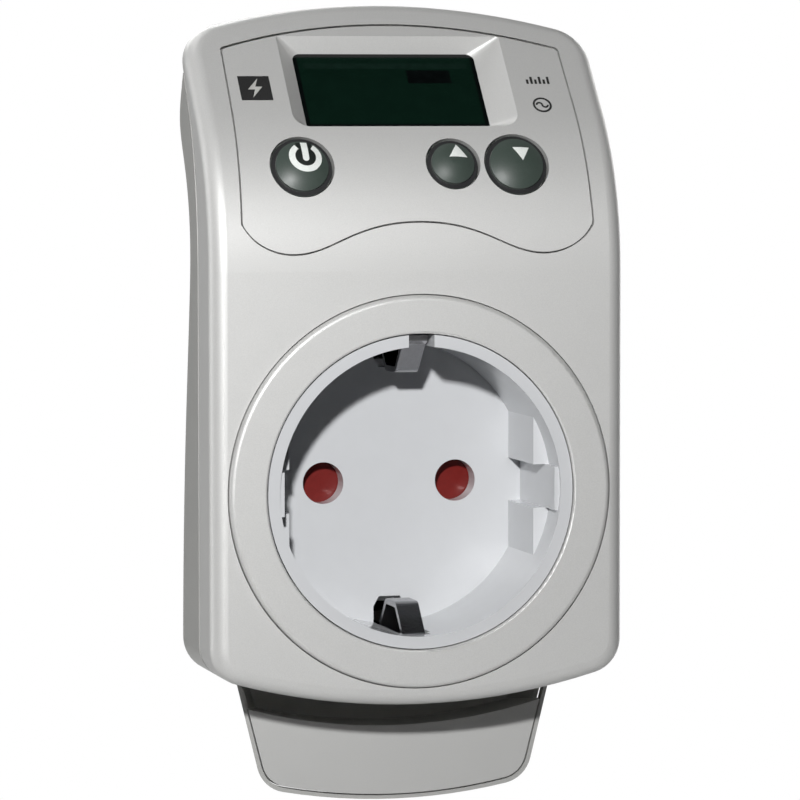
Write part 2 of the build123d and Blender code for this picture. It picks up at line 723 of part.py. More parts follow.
# Socket insert: lip, flange behind the front cover, and a round recess with flats and guide ribs
FLOOR_BACK = FLOOR_DEPTH + FLOOR_THICK
COVER_BACK = BODY_FRONT + FRONT_WALL
EARTH_CUT = 6.4
EARTH_CUT_Z = BORE + 2.6
rib_middle = (RIB_X + BORE + 0.5) / 2
with BuildPart() as socket_insert:
    with BuildSketch(facing(LIP_DEPTH)):
        Circle(INSERT_OUTER)
    extrude(amount=LIP_DEPTH - COVER_BACK)
    with BuildSketch(facing(COVER_BACK)):
        Circle(INSERT_FLANGE)
    extrude(amount=COVER_BACK - FLANGE_BACK)
    with BuildSketch(facing(FLANGE_BACK)):
        Circle(INSERT_BODY)
    extrude(amount=FLANGE_BACK - FLOOR_DEPTH)
    with BuildSketch(facing(0)):
        Circle(BORE)
    extrude(amount=-LEDGE_DEPTH, mode=Mode.SUBTRACT)
    with BuildSketch(facing(LEDGE_DEPTH)):
        Circle(BORE)
        Rectangle(2 * FLAT_X, 2 * BORE, mode=Mode.INTERSECT)
        Rectangle(2 * RIB_X, 2 * RIB_HALF)
    extrude(amount=LEDGE_DEPTH - FLOOR_DEPTH, mode=Mode.SUBTRACT)
    with BuildSketch(facing(RIB_FRONT)):
        with Locations((-rib_middle, 0), (rib_middle, 0)):
            Rectangle(BORE + 0.5 - RIB_X, 2 * RIB_HALF)
    extrude(amount=RIB_FRONT - LEDGE_DEPTH)
    with BuildSketch(facing(0)):
        with Locations((0, EARTH_CUT_Z)):
            Rectangle(EARTH_SLOT, EARTH_CUT)
    extrude(amount=-FLANGE_BACK, mode=Mode.SUBTRACT)
    with BuildSketch(facing(LOW_SLOT_FRONT)):
        with Locations((0, -EARTH_CUT_Z)):
            Rectangle(EARTH_SLOT, EARTH_CUT)
    extrude(amount=LOW_SLOT_FRONT - FLANGE_BACK, mode=Mode.SUBTRACT)
    with BuildSketch(facing(FLANGE_BACK)):
        with Locations((0, EARTH_CUT_Z), (0, -EARTH_CUT_Z)):
            Rectangle(2 * NOTCH_HALF, EARTH_CUT)
    extrude(amount=FLANGE_BACK - FLOOR_BACK, mode=Mode.SUBTRACT)
write(socket_insert, "socket_insert")

# Socket floor: a disc behind the recess with two pin holes and a notch for each earth clip
with BuildPart() as socket_floor:
    with BuildSketch(facing(FLOOR_DEPTH)):
        Circle(INSERT_BODY)
        with GridLocations(PIN_PITCH, 0, 2, 1):
            Circle(PIN_HOLE, mode=Mode.SUBTRACT)
        for side in (1, -1):
            with BuildLine():
                Polyline(
                    (-NOTCH_MOUTH, side * NOTCH_START), (NOTCH_MOUTH, side * NOTCH_START),
                    (NOTCH_HALF, side * (NOTCH_START + 1.4)), (NOTCH_HALF, side * (INSERT_BODY + 1)),
                    (-NOTCH_HALF, side * (INSERT_BODY + 1)), (-NOTCH_HALF, side * (NOTCH_START + 1.4)),
                    (-NOTCH_MOUTH, side * NOTCH_START),
                )
            make_face(mode=Mode.SUBTRACT)
    extrude(amount=-FLOOR_THICK)
write(socket_floor, "socket_floor")

# Shutter: a two-lobed plate that turns on the retainer's axle to bare both pin holes at once
PEG_SPOT = (6.0, 2.5)
STOP_SPOT = (3.6, -2.95)
SHUTTER_BACK = SHUTTER_FRONT + SHUTTER_THICK
with BuildPart() as shutter:
    with BuildSketch(facing(SHUTTER_FRONT)):
        Circle(SHUTTER_HUB)
        Rectangle(PIN_PITCH, 6.2)
        with GridLocations(PIN_PITCH, 0, 2, 1):
            Circle(SHUTTER_LOBE)
        Circle(SHUTTER_AXLE + 0.08, mode=Mode.SUBTRACT)
    extrude(amount=-SHUTTER_THICK)
    with BuildSketch(facing(SHUTTER_BACK)):
        with Locations(PEG_SPOT):
            Circle(0.5)
    extrude(amount=-0.7)
write(shutter, "shutter")

with BuildPart() as shutter_retainer:
    with BuildSketch(facing(FLOOR_BACK)):
        Circle(RETAINER_OUTER)
        Circle(CHAMBER, mode=Mode.SUBTRACT)
    extrude(amount=FLOOR_BACK - CHAMBER_DEPTH)
    with BuildSketch(facing(CHAMBER_DEPTH)):
        Circle(RETAINER_OUTER)
        with GridLocations(PIN_PITCH, 0, 2, 1):
            Circle(PIN_HOLE + 0.2, mode=Mode.SUBTRACT)
    extrude(amount=CHAMBER_DEPTH - RETAINER_BACK)
    with BuildSketch(facing(CHAMBER_DEPTH)):
        Circle(SHUTTER_AXLE)
    extrude(amount=CHAMBER_DEPTH - FLOOR_BACK - 0.1)
    with BuildSketch(facing(CHAMBER_DEPTH)):
        with Locations(STOP_SPOT):
            Circle(0.5)
    extrude(amount=0.8)
write(shutter_retainer, "shutter_retainer")

SPRING_WIRE = 0.22
SPRING_DEPTH = 22.28
with BuildPart() as shutter_spring:
    with BuildLine(facing(SPRING_DEPTH)) as hairpin:
        FilletPolyline((6.8, 1.5), (-4.2, 3.6), (-4.2, -3.6), (6.8, -1.5), radius=2.6)
    with BuildSketch(Plane(origin=hairpin.wire() @ 0, z_dir=hairpin.wire() % 0)):
        Circle(SPRING_WIRE)
    sweep()
write(shutter_spring, "shutter_spring")

# Contacts behind the socket: split tubes that grip the pins
CONTACT_FRONT = 24.5
CONTACT_BACK = 38.2
CONTACT_RADIUS = 3.6
for name, x in (("live_contact", PIN_PITCH / 2), ("neutral_contact", -PIN_PITCH / 2)):
    with BuildPart() as contact:
        with BuildSketch(facing(CONTACT_FRONT)):
            with Locations((x, 0)):
                Circle(CONTACT_RADIUS)
        extrude(amount=CONTACT_FRONT - CONTACT_BACK)
        with BuildSketch(facing(CONTACT_FRONT)):
            with Locations((x, 0)):
                Circle(PIN_RADIUS + 0.1)
        extrude(amount=CONTACT_FRONT - CONTACT_BACK + 1.0, mode=Mode.SUBTRACT)
        with BuildSketch(facing(CONTACT_FRONT)):
            with Locations((x, 0)):
                Rectangle(0.8, 2 * CONTACT_RADIUS + 1)
        extrude(amount=-8.0, mode=Mode.SUBTRACT)
    write(contact, name)

# Earth bracket: one strip behind the socket whose two ends reach forward as sprung clips
EARTH_DEPTH = 33.4
CLIP_HALF = 1.6
with BuildPart() as earth_bracket:
    with BuildSketch(Plane.YZ):
        with BuildLine():
            FilletPolyline(
                at(2.8, 20.8), at(4.6, 20.2), at(8.4, 16.2), at(13.4, 16.2), at(18.2, 21.5),
                at(EARTH_DEPTH, 21.5), at(EARTH_DEPTH, -21.5), at(18.2, -21.5), at(13.4, -16.2),
                at(8.4, -16.2), at(4.6, -20.2), at(2.8, -20.8), radius=1.2,
            )
        trace(line_width=EARTH_THICK)
    extrude(amount=CLIP_HALF, both=True)
write(earth_bracket, "earth_bracket")

# Sensor pod: hangs behind the body's lower edge, with an air slot above its front panel
SENSOR_CAVITY = (26.0, 4.6)
SENSOR_CAVITY_DEPTH = 6.5
SENSOR_Z = -38.0
LEAD_X = 4.2
LEAD_CHANNEL = 22.5
PANEL_BACK = POD_FRONT + POD_PANEL
pod_slot = slot_outline()
panel_recess = at_depth(pod_outline(POD_RIM, POD_RECESS_TOP), PANEL_BACK)
pod_panel = at_depth(pod_outline(POD_RIM + POD_GROOVE, POD_RECESS_TOP), PANEL_BACK)
with BuildPart() as air_slot:
    extrude(at_depth(pod_slot, POD_FRONT + SLOT_DEPTH), amount=FAR)
    add(pod_form(POD_RIM), mode=Mode.INTERSECT)
with BuildPart() as pod:
    add(pod_form(0))
    add(air_slot, mode=Mode.SUBTRACT)
    extrude(panel_recess, amount=FAR, mode=Mode.SUBTRACT)

# Rear cover: side rim, tapered walls, wall face with the plug opening, screw bosses and board posts
POWER_POSTS = [(-17.0, 44.2), (17.0, 44.2), (0.0, 25.6)]
POWER_BACK = POWER_BOARD + BOARD_THICK
rear_outer = rear_form(0)
rear_inner = rear_form(REAR_WALL, -4.0)
seam_strip = rear_section(0, 0) - rear_section(0, SEAM_GROOVE_WIDTH)
with BuildPart() as seam_groove:
    extrude(seam_strip, amount=HALF_WIDTH + 1, both=True)
    extrude(outline(SEAM_GROOVE_DEPTH), amount=FAR, both=True, mode=Mode.SUBTRACT)
with BuildPart() as rear_cover:
    add(rear_outer)
    fillet(edges_behind(rear_cover.part, BACK_ROUNDING_DEPTH), radius=BACK_ROUNDING)
    add(seam_groove, mode=Mode.SUBTRACT)
    add(pod)
    add(rear_inner, mode=Mode.SUBTRACT)
    with BuildSketch(facing(BOSS_SPLIT)):
        with Locations(*SCREWS):
            Circle(REAR_BOSS)
    extrude(amount=BOSS_SPLIT - WALL_DEPTH + 1)
    with BuildSketch(facing(POWER_BACK)):
        with Locations(*POWER_POSTS):
            Circle(POWER_POST)
    extrude(amount=-3.6)
    with BuildSketch(facing(POWER_BACK + 3.5)):
        with Locations(POWER_POSTS[2]):
            Circle(POWER_POST)
    extrude(amount=-3.0)
    with BuildSketch(facing(POWER_BACK)):
        with Locations(*POWER_POSTS):
            Circle(POST_HOLE)
    extrude(amount=-3.0, mode=Mode.SUBTRACT)
    with BuildSketch(facing(BOSS_SPLIT)):
        with Locations(*SCREWS):
            Circle(SCREW_RADIUS + 0.35)
    extrude(amount=-FAR / 4, mode=Mode.SUBTRACT)
    with BuildSketch(facing(SCREW_SEAT)):
        with Locations(*SCREWS):
            Circle(SCREW_HEAD + 0.3)
    extrude(amount=-FAR / 4, mode=Mode.SUBTRACT)
    with BuildSketch(facing(WALL_DEPTH - REAR_WALL - 0.5)):
        Circle(PLUG_RADIUS + 0.1)
    extrude(amount=-5, mode=Mode.SUBTRACT)
    with BuildSketch(facing(PANEL_BACK)):
        with Locations((0, SENSOR_Z)):
            RectangleRounded(*SENSOR_CAVITY, 2.0)
    extrude(amount=-SENSOR_CAVITY_DEPTH, mode=Mode.SUBTRACT)
    with BuildSketch(facing(LEAD_CHANNEL)):
        with Locations((LEAD_X, -32.0)):
            Rectangle(4.0, 14.0)
    extrude(amount=-2.1, mode=Mode.SUBTRACT)
write(rear_cover, "rear_cover")

with BuildPart() as sensor_cover:
    extrude(pod_panel, amount=POD_PANEL)
    extrude(at_depth(pod_slot, PANEL_BACK), amount=FAR / 4, mode=Mode.SUBTRACT)
write(sensor_cover, "sensor_cover")

# Temperature sensor: a bead on two leads that run up behind the air slot
with BuildPart() as temperature_sensor:
    with BuildSketch(facing(18.0)):
        with Locations((LEAD_X, SENSOR_Z)):
            Circle(1.9)
    extrude(amount=-3.0)
    fillet(temperature_sensor.edges(), radius=0.8)
write(temperature_sensor, "temperature_sensor")

with BuildPart() as sensor_leads:
    for x in (LEAD_X - 0.8, LEAD_X + 0.8):
        with BuildLine(Plane.YZ.offset(x)) as lead:
            FilletPolyline(
                at(21.0, SENSOR_Z), at(23.8, SENSOR_Z), at(23.8, -25.5), at(28.5, -24.5), at(28.5, 24.4),
                at(POWER_BOARD, 24.4), radius=1.0,
            )
        with BuildSketch(Plane(origin=lead.wire() @ 0, z_dir=lead.wire() % 0)):
            Circle(0.45)
        sweep()
write(sensor_leads, "sensor_leads")

# Power board and its components, on the side that faces the front
with BuildPart() as power_board:
    with BuildSketch(facing(POWER_BOARD)):
        with Locations((0, (POWER_BOARD_LOW + POWER_BOARD_TOP) / 2)):
            Rectangle(2 * POWER_BOARD_HALF, POWER_BOARD_TOP - POWER_BOARD_LOW)
        with Locations((-17.0, POWER_BOARD_LOW), (17.0, POWER_BOARD_LOW)):
            Rectangle(7.2, 18.0, mode=Mode.SUBTRACT)
        with Locations(*POWER_POSTS):
            Circle(BOARD_HOLE, mode=Mode.SUBTRACT)
    extrude(amount=-BOARD_THICK)
write(power_board, "power_board")


def footprint(x, z, width, height):
    """Outline of a component on the front side of the power board."""
    with BuildSketch(facing(POWER_BOARD)) as print_area:
        with Locations((x, z)):
            RectangleRounded(width, height, 0.5)
    return print_area.sketch


with BuildPart() as relay:
    extrude(footprint(-2.75, 35.0, 19.0, 15.0), amount=15.0)
    chamfer(relay.faces().sort_by(Axis.Y)[0].edges(), length=0.4)
write(relay, "relay")

with BuildPart() as film_capacitor:
    extrude(footprint(11.2, 36.9, 5.8, 10.0), amount=12.0)
write(film_capacitor, "film_capacitor")

with BuildPart() as electrolytic_capacitor:
    with BuildSketch(facing(POWER_BOARD)):
        with Locations((-16.2, 36.9)):
            Circle(3.15)
    extrude(amount=11.0)
    fillet(electrolytic_capacitor.faces().sort_by(Axis.Y)[0].edges(), radius=0.5)
write(electrolytic_capacitor, "electrolytic_capacitor")

with BuildPart() as varistor:
    with BuildSketch(Plane.YZ.offset(17.0)):
        with Locations(at(POWER_BOARD - 5.5, 37.0)):
            Circle(3.6)
    extrude(amount=1.3, both=True)
    with BuildSketch(facing(POWER_BOARD)):
        with Locations((17.0, 34.6), (17.0, 39.4)):
            Circle(0.4)
    extrude(amount=5.0)
write(varistor, "varistor")

with BuildPart() as shunt_resistor:
    with BuildSketch(Plane.XZ.offset(FACE_TO_PLUG - POWER_BOARD)):
        with Locations((-10.4, 25.0), (-5.4, 25.0)):
            Rectangle(0.8, 2.0)
    extrude(amount=3.0)
    with BuildSketch(facing(POWER_BOARD - 3.0)):
        with Locations((-7.9, 25.0)):
            Rectangle(5.8, 2.0)
    extrude(amount=0.8)
write(shunt_resistor, "shunt_resistor")

with BuildPart() as metering_chip:
    extrude(footprint(-4.5, 44.9, 6.0, 3.4), amount=1.5)
write(metering_chip, "metering_chip")

with BuildPart() as board_screws:
    with BuildSketch(head_plane(DISPLAY_BACK)):
        with Locations(*DISPLAY_POSTS):
            Circle(BOARD_SCREW_HEAD)
    extrude(amount=-1.1)
    with BuildSketch(head_plane(DISPLAY_BACK)):
        with Locations(*DISPLAY_POSTS):
            Circle(BOARD_SCREW)
    extrude(amount=4.6)
    with BuildSketch(facing(POWER_BOARD)):
        with Locations(*POWER_POSTS):
            Circle(BOARD_SCREW_HEAD)
    extrude(amount=1.1)
    with BuildSketch(facing(POWER_BOARD)):
        with Locations(*POWER_POSTS):
            Circle(BOARD_SCREW)
    extrude(amount=-4.4)
write(board_screws, "board_screws")

with BuildPart() as case_screws:
    with BuildSketch(facing(SCREW_SEAT)):
        with Locations(*SCREWS):
            Circle(SCREW_HEAD)
    extrude(amount=-2.0)
    with BuildSketch(facing(SCREW_SEAT)):
        with Locations(*SCREWS):
            Circle(SCREW_RADIUS)
    extrude(amount=16.0)
    with BuildSketch(facing(SCREW_SEAT + 2.0)):
        with Locations(*SCREWS):
            Rectangle(3.2, 0.7)
            Rectangle(0.7, 3.2)
    extrude(amount=1.1, mode=Mode.SUBTRACT)
write(case_screws, "case_screws")

# Plug: a round body with side grooves, a hollow for the wiring, and the face that holds the pins
PLUG_FRONT = WALL_DEPTH - REAR_WALL - FLANGE_THICK
PIN_COLLAR = 3.8
TAIL_RADIUS = 1.6
TAIL_END = 47.0
EARTH_TIE = 53.6
with BuildPart() as plug_body:
    with BuildSketch(facing(PLUG_FRONT)):
        Circle(PLUG_FLANGE)
    extrude(amount=-FLANGE_THICK)
    with BuildSketch(facing(WALL_DEPTH - REAR_WALL)):
        Circle(PLUG_RADIUS)
    extrude(amount=WALL_DEPTH - REAR_WALL - FACE_TO_PLUG)
    chamfer(plug_body.faces().sort_by(Axis.Y)[-1].edges(), length=0.8)
    with BuildSketch(facing(PLUG_FRONT)):
        Circle(PLUG_INNER)
    extrude(amount=PLUG_FRONT + PLUG_FACE - FACE_TO_PLUG, mode=Mode.SUBTRACT)
    with BuildSketch(facing(WALL_DEPTH)):
        with Locations((-PLUG_GROOVE_X - 3, 0), (PLUG_GROOVE_X + 3, 0)):
            Rectangle(6.0, 2 * PLUG_GROOVE_HALF)
    extrude(amount=WALL_DEPTH - FACE_TO_PLUG, mode=Mode.SUBTRACT)
    with BuildSketch(facing(WALL_DEPTH + 0.8)):
        with Locations((0, PLUG_RADIUS + 1.1), (0, -PLUG_RADIUS - 1.1)):
            Rectangle(2 * EARTH_HALF + 0.8, 6.0)
    extrude(amount=WALL_DEPTH + 0.8 - EARTH_TIE - 1.4, mode=Mode.SUBTRACT)
    with BuildSketch(facing(EARTH_TIE - EARTH_THICK / 2 - 0.1)):
        Rectangle(2 * EARTH_HALF + 0.2, 2 * PLUG_RADIUS + 2)
    extrude(amount=-EARTH_THICK - 0.2, mode=Mode.SUBTRACT)
    with BuildSketch(facing(FACE_TO_PLUG)):
        with GridLocations(PIN_PITCH, 0, 2, 1):
            Circle(PIN_NECK + PRESS_GAP)
    extrude(amount=PLUG_FACE + 0.5, mode=Mode.SUBTRACT)
write(plug_body, "plug_body")

for name, x in (("live_pin", PIN_PITCH / 2), ("neutral_pin", -PIN_PITCH / 2)):
    with BuildPart() as pin:
        with BuildSketch(facing(FACE_TO_PLUG)):
            with Locations((x, 0)):
                Circle(PIN_RADIUS)
        extrude(amount=-PIN_LENGTH)
        fillet(pin.faces().sort_by(Axis.Y)[-1].edges(), radius=PIN_TIP)
        with BuildSketch(facing(FACE_TO_PLUG)):
            with Locations((x, 0)):
                Circle(PIN_NECK)
        extrude(amount=PLUG_FACE)
        with BuildSketch(facing(FACE_TO_PLUG - PLUG_FACE)):
            with Locations((x, 0)):
                Circle(PIN_COLLAR)
        extrude(amount=1.5)
        with BuildSketch(facing(FACE_TO_PLUG - PLUG_FACE - 1.5)):
            with Locations((x, 0)):
                Circle(TAIL_RADIUS)
        extrude(amount=FACE_TO_PLUG - PLUG_FACE - 1.5 - TAIL_END)
    write(pin, name)

# Earth contacts of the plug: one bowed strip, tied across the plug behind its face
with BuildPart() as plug_earth_contacts:
    with BuildSketch(Plane.YZ):
        with BuildLine():
            FilletPolyline(
                at(41.6, 17.2), at(47.0, 18.1), at(EARTH_TIE, 17.2), at(EARTH_TIE, -17.2), at(47.0, -18.1),
                at(41.6, -17.2), radius=1.0,
            )
        trace(line_width=EARTH_THICK)
    extrude(amount=EARTH_HALF, both=True)
write(plug_earth_contacts, "plug_earth_contacts")

# Internal links between the plug, the board and the socket
EARTH_BACK = EARTH_DEPTH + EARTH_THICK / 2
EARTH_TIE_FRONT = EARTH_TIE - EARTH_THICK / 2
with BuildPart() as earth_link:
    with BuildSketch(facing(EARTH_BACK)):
        Rectangle(2.4, 2.4)
    extrude(amount=EARTH_BACK - EARTH_TIE_FRONT)
write(earth_link, "earth_link")

with BuildPart() as neutral_strip:
    with BuildSketch(facing(CONTACT_BACK)):
        with Locations((-PIN_PITCH / 2, 0)):
            Rectangle(4.0, 0.8)
    extrude(amount=CONTACT_BACK - TAIL_END)
write(neutral_strip, "neutral_strip")

WIRE_RADIUS = 0.9
LIVE_X = PIN_PITCH / 2
WIRES = {
    "live_feed_wire": [
        (LIVE_X, TAIL_END, 0), (LIVE_X, 43.0, 0), (6.8, 41.0, 8.5), (6.2, 34.2, 10.5), (6.5, 34.2, 25.2),
        (6.5, POWER_BACK, 25.2),
    ],
    "neutral_feed_wire": [
        (-LIVE_X, 42.6, 0.4), (-LIVE_X, 42.6, 6.0), (-6.8, 40.4, 8.5), (-6.2, 34.2, 11.0),
        (-6.5, 34.2, 25.2), (-6.5, POWER_BACK, 25.2),
    ],
    "switched_live_wire": [
        (10.6, POWER_BACK, 25.2), (10.6, 34.2, 25.2), (10.0, 34.2, 10.0), (LIVE_X, 31.5, 6.5),
        (LIVE_X, 31.5, 3.65),
    ],
}
for name, route in WIRES.items():
    with BuildPart() as wire:
        with BuildLine() as run:
            FilletPolyline(*[(x, depth - FACE_TO_PLUG, z) for x, depth, z in route], radius=1.0)
        with BuildSketch(Plane(origin=run.wire() @ 0, z_dir=run.wire() % 0)):
            Circle(WIRE_RADIUS)
        sweep()
    write(wire, name)
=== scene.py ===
import math

import bmesh
import bpy
from mathutils import Matrix, Vector


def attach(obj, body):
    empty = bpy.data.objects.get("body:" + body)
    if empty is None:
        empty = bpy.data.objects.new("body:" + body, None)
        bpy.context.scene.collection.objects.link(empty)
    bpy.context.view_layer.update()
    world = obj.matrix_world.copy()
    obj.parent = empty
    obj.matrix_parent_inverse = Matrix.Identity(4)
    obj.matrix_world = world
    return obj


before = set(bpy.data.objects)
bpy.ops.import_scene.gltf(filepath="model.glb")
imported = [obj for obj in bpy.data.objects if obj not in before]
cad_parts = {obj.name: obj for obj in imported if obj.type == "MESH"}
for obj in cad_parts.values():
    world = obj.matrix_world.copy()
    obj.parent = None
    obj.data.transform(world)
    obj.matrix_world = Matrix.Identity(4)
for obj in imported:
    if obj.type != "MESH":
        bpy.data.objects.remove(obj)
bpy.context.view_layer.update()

MM = 0.001

# The body's front surface, as the design has it: upright below, then a bend, then a straight lean.
FACE_TO_PLUG = 57.5
BODY_FRONT = 0.8
HEAD_START = 30.0
HEAD_RADIUS = 33.0
HEAD_LEAN = 42.0
HEAD_Z = 54.45
WINDOW_SPOT = (-0.6, 1.9)
WINDOW_WIDTH = 26.0
WINDOW_HEIGHT = 13.5
WINDOW_SUNK = 2.2

# Buttons: x, height and radius in mm, then how far a cap rises and the step and depth of its skirt
BUTTONS = {
    "power_button": (-15.7, 44.2, 4.25),
    "up_button": (5.5, 44.5, 3.6),
    "down_button": (14.5, 44.4, 4.35),
}
BUTTON_DOME = 0.9
BUTTON_STEP = 0.6
BUTTON_SKIRT = 0.5

# Camera: angles in degrees, distance in metres
CAMERA_YAW = 15.043
CAMERA_PITCH = -3.855
CAMERA_ROLL = -0.040
CAMERA_DISTANCE = 0.600
CAMERA_TARGET = Vector((-3.137 * MM, -FACE_TO_PLUG * MM, 12.593 * MM))
CAMERA_LENS = 199.6

# Stage: the floor has a glow of its own, so that it stays pale, and lights nothing but reflections
FLOOR_GLOW = 0.3
FLOOR_HALF = 0.6
FLOOR_Z = -0.20

# Light: the sky's strength below and above, and the point that every lamp faces
SKY_LOW = 0.02
SKY_HIGH = 0.09
LIT_MIDDLE = (0, -0.05, 0.015)

# Grain of the materials: the span of the noise in use, how much broader the second grain is, and the relief
GRAIN_SPAN = (0.3, 0.7)
BROAD_GRAIN = 20
GRAIN_DEPTH = 0.00005

# Printed marks, in mm: how far one stands out and goes in, and where each one is
PRINT_RISE = 0.03
PRINT_SUNK = 0.15
POWER_ICON_X = 0.45
SUPPLY_MARK = (-20.4, 54.7)
TICK_MARK = (20.0, 55.3)
WAVE_MARK = (19.8, 52.4)
WINDOW_BORDER = 0.6


def lean_at(z):
    """Lean of the front surface from upright at a height in mm, in radians."""
    if z <= HEAD_START:
        return 0.0
    return min(math.radians(HEAD_LEAN), math.asin(min(1.0, (z - HEAD_START) / HEAD_RADIUS)))


def depth_at(z):
    """Depth in mm of the front surface at a height, measured back from the socket ring."""
    lean = lean_at(z)
    bend_top = HEAD_START + HEAD_RADIUS * math.sin(lean)
    return BODY_FRONT + HEAD_RADIUS * (1 - math.cos(lean)) + max(0.0, z - bend_top) * math.tan(lean)


def surface_matrix(x, z, lift=0.0):
    """Matrix, in metres, of a patch of the front: local X to the right, Y up the slope and Z outwards."""
    lean = lean_at(z)
    out = Vector((0, -math.cos(lean), math.sin(lean)))
    up = Vector((0, math.sin(lean), math.cos(lean)))
    right = Vector((1, 0, 0))
    place = Vector((x * MM, (depth_at(z) - FACE_TO_PLUG) * MM, z * MM)) + out * lift * MM
    matrix = Matrix((right, up, out)).transposed().to_4x4()
    matrix.translation = place
    return matrix


# ---------------------------------------------------------------- camera, stage and light

def add_camera():
    yaw, pitch, roll = (math.radians(a) for a in (CAMERA_YAW, CAMERA_PITCH, CAMERA_ROLL))
    ahead = Vector((math.sin(yaw) * math.cos(pitch), math.cos(yaw) * math.cos(pitch), math.sin(pitch)))
    level = Vector((math.cos(yaw), -math.sin(yaw), 0))
    above = level.cross(ahead)
    right = level * math.cos(roll) + above * math.sin(roll)
    up = above * math.cos(roll) - level * math.sin(roll)
    data = bpy.data.cameras.new("camera")
    data.lens = CAMERA_LENS
    data.sensor_width = 36.0
    data.clip_start = 0.01
    data.clip_end = 20.0
    camera = bpy.data.objects.new("camera", data)
    bpy.context.scene.collection.objects.link(camera)
    matrix = Matrix((right, up, -ahead)).transposed().to_4x4()
    matrix.translation = CAMERA_TARGET - ahead * CAMERA_DISTANCE
    camera.matrix_world = matrix
    bpy.context.scene.camera = camera


def add_area_light(name, place, size, power):
    """White panel lamp that faces the middle of the part."""
    data = bpy.data.lights.new(name, "AREA")
    data.shape = "RECTANGLE"
    data.size, data.size_y = size
    data.energy = power
    light = bpy.data.objects.new(name, data)
    light.location = place
    light.rotation_euler = (Vector(LIT_MIDDLE) - Vector(place)).to_track_quat("-Z", "Y").to_euler()
    bpy.context.scene.collection.objects.link(light)


def add_stage():
    """Pale floor, well below the part, which hangs on a wall socket in use."""
    mesh = bpy.data.meshes.new("floor")
    signs = [(-1, -1), (1, -1), (1, 1), (-1, 1)]
    mesh.from_pydata([(x * FLOOR_HALF, y * FLOOR_HALF, FLOOR_Z) for x, y in signs], [], [(0, 1, 2, 3)])
    floor = bpy.data.objects.new("floor", mesh)
    bpy.context.scene.collection.objects.link(floor)
    paint = make_material("floor_paint", (0.85, 0.85, 0.85), 0.8, grain=60, variation=0.01)
    shader = paint.node_tree.nodes["Principled BSDF"]
    shader.inputs["Emission Color"].default_value = (1, 1, 1, 1)
    shader.inputs["Emission Strength"].default_value = FLOOR_GLOW
    mesh.materials.append(paint)
    floor.visible_diffuse = False


def add_world():
    """White studio to the camera, and a dim sky that fades downwards to everything else."""
    world = bpy.data.worlds.new("studio")
    bpy.context.scene.world = world
    world.use_nodes = True
    nodes, links = world.node_tree.nodes, world.node_tree.links
    place = nodes.new("ShaderNodeTexCoord")
    split = nodes.new("ShaderNodeSeparateXYZ")
    ramp = nodes.new("ShaderNodeMapRange")
    ramp.inputs["From Min"].default_value = -0.6
    ramp.inputs["From Max"].default_value = 0.3
    ramp.inputs["To Min"].default_value = SKY_LOW
    ramp.inputs["To Max"].default_value = SKY_HIGH
    links.new(place.outputs["Generated"], split.inputs["Vector"])
    links.new(split.outputs["Z"], ramp.inputs["Value"])
    sky = nodes["Background"]
    links.new(ramp.outputs["Result"], sky.inputs["Strength"])
    backdrop = nodes.new("ShaderNodeBackground")
    backdrop.inputs["Color"].default_value = (1, 1, 1, 1)
    path = nodes.new("ShaderNodeLightPath")
    mix = nodes.new("ShaderNodeMixShader")
    links.new(path.outputs["Is Camera Ray"], mix.inputs["Fac"])
    links.new(sky.outputs["Background"], mix.inputs[1])
    links.new(backdrop.outputs["Background"], mix.inputs[2])
    links.new(mix.outputs["Shader"], nodes["World Output"].inputs["Surface"])


def add_lights():
    """One small key lamp in front, to the left and above, and soft panels that fill in round it."""
    add_area_light("key", (-0.115, -0.389, 0.132), (0.016, 0.016), 1.55)
    add_area_light("soft_left", (-0.85, -0.5, 0.5), (0.4, 0.4), 0.6)
    add_area_light("soft_side", (-0.85, 0.35, 0.12), (0.4, 0.7), 2.8)
    add_area_light("soft_top", (-0.25, 0.4, 0.8), (0.5, 0.3), 1.8)
    add_area_light("fill_right", (0.65, 0.60, 0.15), (0.4, 0.6), 3.2)
    add_area_light("fill_back", (-0.05, 0.85, 0.45), (0.6, 0.4), 3.6)
    bpy.context.scene.view_settings.view_transform = "Standard"


# ---------------------------------------------------------------- materials

